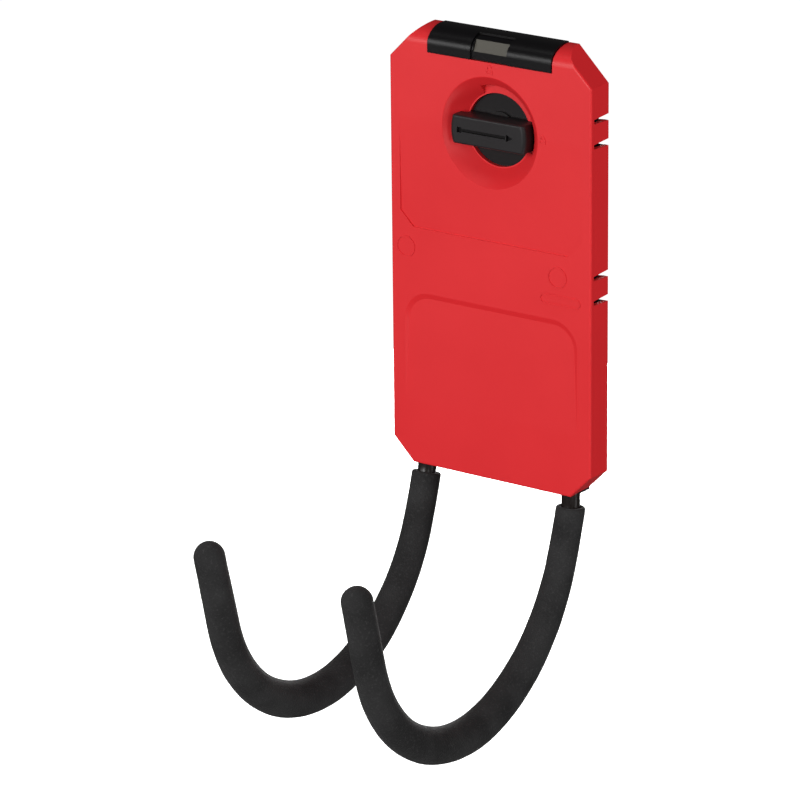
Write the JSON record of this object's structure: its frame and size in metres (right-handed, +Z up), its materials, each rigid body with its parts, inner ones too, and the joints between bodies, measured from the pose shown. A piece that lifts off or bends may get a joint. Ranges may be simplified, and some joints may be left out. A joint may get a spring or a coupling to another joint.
{
  "type": "wall rail utility hook",
  "caption": "Wall-mounted double hook with foam-covered arms and a quarter-turn lock knob that holds it on a wall rail.",
  "frame": {"origin": "middle of the flat wall face at the back of the base", "axes": "+Z up, -Y out from the wall towards the hooks, +X to the right seen from the front"},
  "size_m": [0.098, 0.1696, 0.2762],
  "materials": {
    "cover_red": "fine-textured moulded plastic, satin",
    "base_black": "fine-textured moulded plastic",
    "bar_black": "smooth satin-gloss moulded plastic",
    "label_grey": "flat satin film",
    "knob_black": "satin moulded plastic",
    "plated_steel": "zinc plated",
    "spring_steel": "bare spring steel",
    "core_steel": "black powder coat",
    "rod_black": "smooth black coat",
    "foam_grey": "closed-cell foam with a fine grain"
  },
  "bodies": {
    "housing": {"front_cover": "cover_red", "rear_base": "base_black", "top_bar": "bar_black", "bar_label": "label_grey", "core_plate": "core_steel", "cover_screws": "plated_steel", "wave_spring": "spring_steel", "left_hook_rod": "rod_black", "right_hook_rod": "rod_black", "left_foam_sleeve": "foam_grey", "right_foam_sleeve": "foam_grey"},
    "turn_lock": {"lock_knob": "knob_black", "lock_dog": "plated_steel", "lock_washer": "plated_steel", "knob_screw": "plated_steel"}
  },
  "joints": [
    {"name": "knob_turn", "type": "hinge", "parent": "housing", "child": "turn_lock", "pos_m": [0, -0.012, 0.0538], "axis": [0, -1, 0], "range_deg": [0, 90]}
  ]
}
